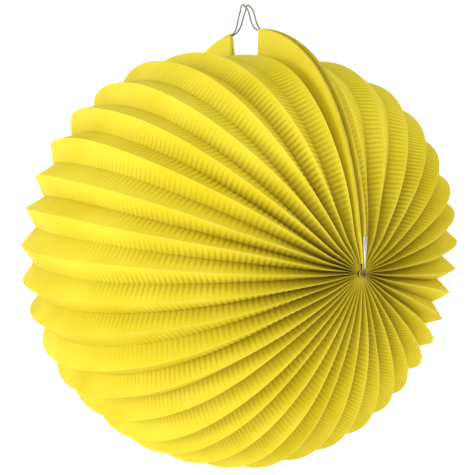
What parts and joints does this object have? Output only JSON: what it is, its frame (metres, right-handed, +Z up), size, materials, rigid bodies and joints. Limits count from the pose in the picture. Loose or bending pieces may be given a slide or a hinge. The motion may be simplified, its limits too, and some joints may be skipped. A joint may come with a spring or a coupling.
{
  "type": "accordion paper lantern",
  "caption": "Round accordion paper lantern: pleats fan out between two cover cards that hang from a pair of wire loops.",
  "frame": {"origin": "hang point: inside the top of the two wire loops, midway between them", "axes": "+Z up, the pole line along X, the front cover card on the -Y side of the seam; the centre of the body is 137.5 mm below the origin"},
  "size_m": [0.2406, 0.2382, 0.2588],
  "materials": {
    "yellow_paper": "matt dyed paper, crimped across each leaf",
    "yellow_card": "matt yellow face with a cream cut edge",
    "hanger_wire": "drawn steel wire, dull grey",
    "eyelet_metal": "rolled eyelet, dull",
    "clip_metal": "bright bent strip"
  },
  "bodies": {
    "front_cover": {"front_cover_card": "yellow_card", "front_hanger_wire": "hanger_wire", "left_pole_eyelet": "eyelet_metal", "right_pole_eyelet": "eyelet_metal"},
    "back_cover": {"back_cover_card": "yellow_card", "back_hanger_wire": "hanger_wire", "left_pole_clip": "clip_metal", "right_pole_clip": "clip_metal"},
    "fold_01": {"pleat_01": "yellow_paper"},
    "fold_02": {"pleat_02": "yellow_paper"},
    "fold_03": {"pleat_03": "yellow_paper"},
    "fold_04": {"pleat_04": "yellow_paper"},
    "fold_05": {"pleat_05": "yellow_paper"},
    "fold_06": {"pleat_06": "yellow_paper"},
    "fold_07": {"pleat_07": "yellow_paper"},
    "fold_08": {"pleat_08": "yellow_paper"},
    "fold_09": {"pleat_09": "yellow_paper"},
    "fold_10": {"pleat_10": "yellow_paper"},
    "fold_11": {"pleat_11": "yellow_paper"},
    "fold_12": {"pleat_12": "yellow_paper"},
    "fold_13": {"pleat_13": "yellow_paper"},
    "fold_14": {"pleat_14": "yellow_paper"},
    "fold_15": {"pleat_15": "yellow_paper"},
    "fold_16": {"pleat_16": "yellow_paper"},
    "fold_17": {"pleat_17": "yellow_paper"},
    "fold_18": {"pleat_18": "yellow_paper"},
    "fold_19": {"pleat_19": "yellow_paper"},
    "fold_20": {"pleat_20": "yellow_paper"},
    "fold_21": {"pleat_21": "yellow_paper"},
    "fold_22": {"pleat_22": "yellow_paper"},
    "fold_23": {"pleat_23": "yellow_paper"},
    "fold_24": {"pleat_24": "yellow_paper"},
    "fold_25": {"pleat_25": "yellow_paper"},
    "fold_26": {"pleat_26": "yellow_paper"},
    "fold_27": {"pleat_27": "yellow_paper"},
    "fold_28": {"pleat_28": "yellow_paper"},
    "fold_29": {"pleat_29": "yellow_paper"},
    "fold_30": {"pleat_30": "yellow_paper"},
    "fold_31": {"pleat_31": "yellow_paper"},
    "fold_32": {"pleat_32": "yellow_paper"},
    "fold_33": {"pleat_33": "yellow_paper"},
    "fold_34": {"pleat_34": "yellow_paper"},
    "fold_35": {"pleat_35": "yellow_paper"},
    "fold_36": {"pleat_36": "yellow_paper"},
    "fold_37": {"pleat_37": "yellow_paper"}
  },
  "joints": [
    {"name": "fan_fold", "type": "hinge", "parent": "front_cover", "child": "back_cover", "pos_m": [0, 0, -0.1375], "axis": [-1, 0, 0], "range_deg": [0, 348], "deforming": ["pleat_01", "pleat_02", "pleat_03", "pleat_04", "pleat_05", "pleat_06", "pleat_07", "pleat_08", "pleat_09", "pleat_10", "pleat_11", "pleat_12", "pleat_13", "pleat_14", "pleat_15", "pleat_16", "pleat_17", "pleat_18", "pleat_19", "pleat_20", "pleat_21", "pleat_22", "pleat_23", "pleat_24", "pleat_25", "pleat_26", "pleat_27", "pleat_28", "pleat_29", "pleat_30", "pleat_31", "pleat_32", "pleat_33", "pleat_34", "pleat_35", "pleat_36", "pleat_37"]},
    {"name": "fold_01_turn", "type": "hinge", "parent": "front_cover", "child": "fold_01", "pos_m": [0, 0, -0.1375], "axis": [-1, 0, 0], "range_deg": [0, 5.33]},
    {"name": "fold_02_turn", "type": "hinge", "parent": "front_cover", "child": "fold_02", "pos_m": [0, 0, -0.1375], "axis": [-1, 0, 0], "range_deg": [0, 17.57]},
    {"name": "fold_03_turn", "type": "hinge", "parent": "front_cover", "child": "fold_03", "pos_m": [0, 0, -0.1375], "axis": [-1, 0, 0], "range_deg": [0, 27.65]},
    {"name": "fold_04_turn", "type": "hinge", "parent": "front_cover", "child": "fold_04", "pos_m": [0, 0, -0.1375], "axis": [-1, 0, 0], "range_deg": [0, 38.21]},
    {"name": "fold_05_turn", "type": "hinge", "parent": "front_cover", "child": "fold_05", "pos_m": [0, 0, -0.1375], "axis": [-1, 0, 0], "range_deg": [0, 47.79]},
    {"name": "fold_06_turn", "type": "hinge", "parent": "front_cover", "child": "fold_06", "pos_m": [0, 0, -0.1375], "axis": [-1, 0, 0], "range_deg": [0, 56.85]},
    {"name": "fold_07_turn", "type": "hinge", "parent": "front_cover", "child": "fold_07", "pos_m": [0, 0, -0.1375], "axis": [-1, 0, 0], "range_deg": [0, 66.75]},
    {"name": "fold_08_turn", "type": "hinge", "parent": "front_cover", "child": "fold_08", "pos_m": [0, 0, -0.1375], "axis": [-1, 0, 0], "range_deg": [0, 75.39]},
    {"name": "fold_09_turn", "type": "hinge", "parent": "front_cover", "child": "fold_09", "pos_m": [0, 0, -0.1375], "axis": [-1, 0, 0], "range_deg": [0, 84.67]},
    {"name": "fold_10_turn", "type": "hinge", "parent": "front_cover", "child": "fold_10", "pos_m": [0, 0, -0.1375], "axis": [-1, 0, 0], "range_deg": [0, 93.97]},
    {"name": "fold_11_turn", "type": "hinge", "parent": "front_cover", "child": "fold_11", "pos_m": [0, 0, -0.1375], "axis": [-1, 0, 0], "range_deg": [0, 102.26]},
    {"name": "fold_12_turn", "type": "hinge", "parent": "front_cover", "child": "fold_12", "pos_m": [0, 0, -0.1375], "axis": [-1, 0, 0], "range_deg": [0, 111.49]},
    {"name": "fold_13_turn", "type": "hinge", "parent": "front_cover", "child": "fold_13", "pos_m": [0, 0, -0.1375], "axis": [-1, 0, 0], "range_deg": [0, 119.59]},
    {"name": "fold_14_turn", "type": "hinge", "parent": "front_cover", "child": "fold_14", "pos_m": [0, 0, -0.1375], "axis": [-1, 0, 0], "range_deg": [0, 127.4]},
    {"name": "fold_15_turn", "type": "hinge", "parent": "front_cover", "child": "fold_15", "pos_m": [0, 0, -0.1375], "axis": [-1, 0, 0], "range_deg": [0, 135.73]},
    {"name": "fold_16_turn", "type": "hinge", "parent": "front_cover", "child": "fold_16", "pos_m": [0, 0, -0.1375], "axis": [-1, 0, 0], "range_deg": [0, 142.82]},
    {"name": "fold_17_turn", "type": "hinge", "parent": "front_cover", "child": "fold_17", "pos_m": [0, 0, -0.1375], "axis": [-1, 0, 0], "range_deg": [0, 151]},
    {"name": "fold_18_turn", "type": "hinge", "parent": "front_cover", "child": "fold_18", "pos_m": [0, 0, -0.1375], "axis": [-1, 0, 0], "range_deg": [0, 159.27]},
    {"name": "fold_19_turn", "type": "hinge", "parent": "front_cover", "child": "fold_19", "pos_m": [0, 0, -0.1375], "axis": [-1, 0, 0], "range_deg": [0, 167.22]},
    {"name": "fold_20_turn", "type": "hinge", "parent": "front_cover", "child": "fold_20", "pos_m": [0, 0, -0.1375], "axis": [-1, 0, 0], "range_deg": [0, 176.58]},
    {"name": "fold_21_turn", "type": "hinge", "parent": "front_cover", "child": "fold_21", "pos_m": [0, 0, -0.1375], "axis": [-1, 0, 0], "range_deg": [0, 185.08]},
    {"name": "fold_22_turn", "type": "hinge", "parent": "front_cover", "child": "fold_22", "pos_m": [0, 0, -0.1375], "axis": [-1, 0, 0], "range_deg": [0, 194.05]},
    {"name": "fold_23_turn", "type": "hinge", "parent": "front_cover", "child": "fold_23", "pos_m": [0, 0, -0.1375], "axis": [-1, 0, 0], "range_deg": [0, 203.54]},
    {"name": "fold_24_turn", "type": "hinge", "parent": "front_cover", "child": "fold_24", "pos_m": [0, 0, -0.1375], "axis": [-1, 0, 0], "range_deg": [0, 211.97]},
    {"name": "fold_25_turn", "type": "hinge", "parent": "front_cover", "child": "fold_25", "pos_m": [0, 0, -0.1375], "axis": [-1, 0, 0], "range_deg": [0, 221.51]},
    {"name": "fold_26_turn", "type": "hinge", "parent": "front_cover", "child": "fold_26", "pos_m": [0, 0, -0.1375], "axis": [-1, 0, 0], "range_deg": [0, 230.53]},
    {"name": "fold_27_turn", "type": "hinge", "parent": "front_cover", "child": "fold_27", "pos_m": [0, 0, -0.1375], "axis": [-1, 0, 0], "range_deg": [0, 239.23]},
    {"name": "fold_28_turn", "type": "hinge", "parent": "front_cover", "child": "fold_28", "pos_m": [0, 0, -0.1375], "axis": [-1, 0, 0], "range_deg": [0, 248.97]},
    {"name": "fold_29_turn", "type": "hinge", "parent": "front_cover", "child": "fold_29", "pos_m": [0, 0, -0.1375], "axis": [-1, 0, 0], "range_deg": [0, 257.6]},
    {"name": "fold_30_turn", "type": "hinge", "parent": "front_cover", "child": "fold_30", "pos_m": [0, 0, -0.1375], "axis": [-1, 0, 0], "range_deg": [0, 266.96]},
    {"name": "fold_31_turn", "type": "hinge", "parent": "front_cover", "child": "fold_31", "pos_m": [0, 0, -0.1375], "axis": [-1, 0, 0], "range_deg": [0, 276.61]},
    {"name": "fold_32_turn", "type": "hinge", "parent": "front_cover", "child": "fold_32", "pos_m": [0, 0, -0.1375], "axis": [-1, 0, 0], "range_deg": [0, 285.51]},
    {"name": "fold_33_turn", "type": "hinge", "parent": "front_cover", "child": "fold_33", "pos_m": [0, 0, -0.1375], "axis": [-1, 0, 0], "range_deg": [0, 295.87]},
    {"name": "fold_34_turn", "type": "hinge", "parent": "front_cover", "child": "fold_34", "pos_m": [0, 0, -0.1375], "axis": [-1, 0, 0], "range_deg": [0, 305.93]},
    {"name": "fold_35_turn", "type": "hinge", "parent": "front_cover", "child": "fold_35", "pos_m": [0, 0, -0.1375], "axis": [-1, 0, 0], "range_deg": [0, 316.76]},
    {"name": "fold_36_turn", "type": "hinge", "parent": "front_cover", "child": "fold_36", "pos_m": [0, 0, -0.1375], "axis": [-1, 0, 0], "range_deg": [0, 329.72]},
    {"name": "fold_37_turn", "type": "hinge", "parent": "front_cover", "child": "fold_37", "pos_m": [0, 0, -0.1375], "axis": [-1, 0, 0], "range_deg": [0, 343.67]}
  ],
  "couplings": [
    {"joint": "fold_01_turn", "follows": "fan_fold", "ratio": 0.013889},
    {"joint": "fold_02_turn", "follows": "fan_fold", "ratio": 0.04904},
    {"joint": "fold_03_turn", "follows": "fan_fold", "ratio": 0.078028},
    {"joint": "fold_04_turn", "follows": "fan_fold", "ratio": 0.10836},
    {"joint": "fold_05_turn", "follows": "fan_fold", "ratio": 0.13589},
    {"joint": "fold_06_turn", "follows": "fan_fold", "ratio": 0.16193},
    {"joint": "fold_07_turn", "follows": "fan_fold", "ratio": 0.19037},
    {"joint": "fold_08_turn", "follows": "fan_fold", "ratio": 0.21519},
    {"joint": "fold_09_turn", "follows": "fan_fold", "ratio": 0.24186},
    {"joint": "fold_10_turn", "follows": "fan_fold", "ratio": 0.2686},
    {"joint": "fold_11_turn", "follows": "fan_fold", "ratio": 0.2924},
    {"joint": "fold_12_turn", "follows": "fan_fold", "ratio": 0.31895},
    {"joint": "fold_13_turn", "follows": "fan_fold", "ratio": 0.3422},
    {"joint": "fold_14_turn", "follows": "fan_fold", "ratio": 0.36465},
    {"joint": "fold_15_turn", "follows": "fan_fold", "ratio": 0.38859},
    {"joint": "fold_16_turn", "follows": "fan_fold", "ratio": 0.40896},
    {"joint": "fold_17_turn", "follows": "fan_fold", "ratio": 0.43248},
    {"joint": "fold_18_turn", "follows": "fan_fold", "ratio": 0.45622},
    {"joint": "fold_19_turn", "follows": "fan_fold", "ratio": 0.47908},
    {"joint": "fold_20_turn", "follows": "fan_fold", "ratio": 0.50599},
    {"joint": "fold_21_turn", "follows": "fan_fold", "ratio": 0.53041},
    {"joint": "fold_22_turn", "follows": "fan_fold", "ratio": 0.55617},
    {"joint": "fold_23_turn", "follows": "fan_fold", "ratio": 0.58346},
    {"joint": "fold_24_turn", "follows": "fan_fold", "ratio": 0.60767},
    {"joint": "fold_25_turn", "follows": "fan_fold", "ratio": 0.63507},
    {"joint": "fold_26_turn", "follows": "fan_fold", "ratio": 0.661},
    {"joint": "fold_27_turn", "follows": "fan_fold", "ratio": 0.686},
    {"joint": "fold_28_turn", "follows": "fan_fold", "ratio": 0.71399},
    {"joint": "fold_29_turn", "follows": "fan_fold", "ratio": 0.73879},
    {"joint": "fold_30_turn", "follows": "fan_fold", "ratio": 0.7657},
    {"joint": "fold_31_turn", "follows": "fan_fold", "ratio": 0.79341},
    {"joint": "fold_32_turn", "follows": "fan_fold", "ratio": 0.81898},
    {"joint": "fold_33_turn", "follows": "fan_fold", "ratio": 0.84877},
    {"joint": "fold_34_turn", "follows": "fan_fold", "ratio": 0.87766},
    {"joint": "fold_35_turn", "follows": "fan_fold", "ratio": 0.9088},
    {"joint": "fold_36_turn", "follows": "fan_fold", "ratio": 0.94604},
    {"joint": "fold_37_turn", "follows": "fan_fold", "ratio": 0.98611}
  ]
}
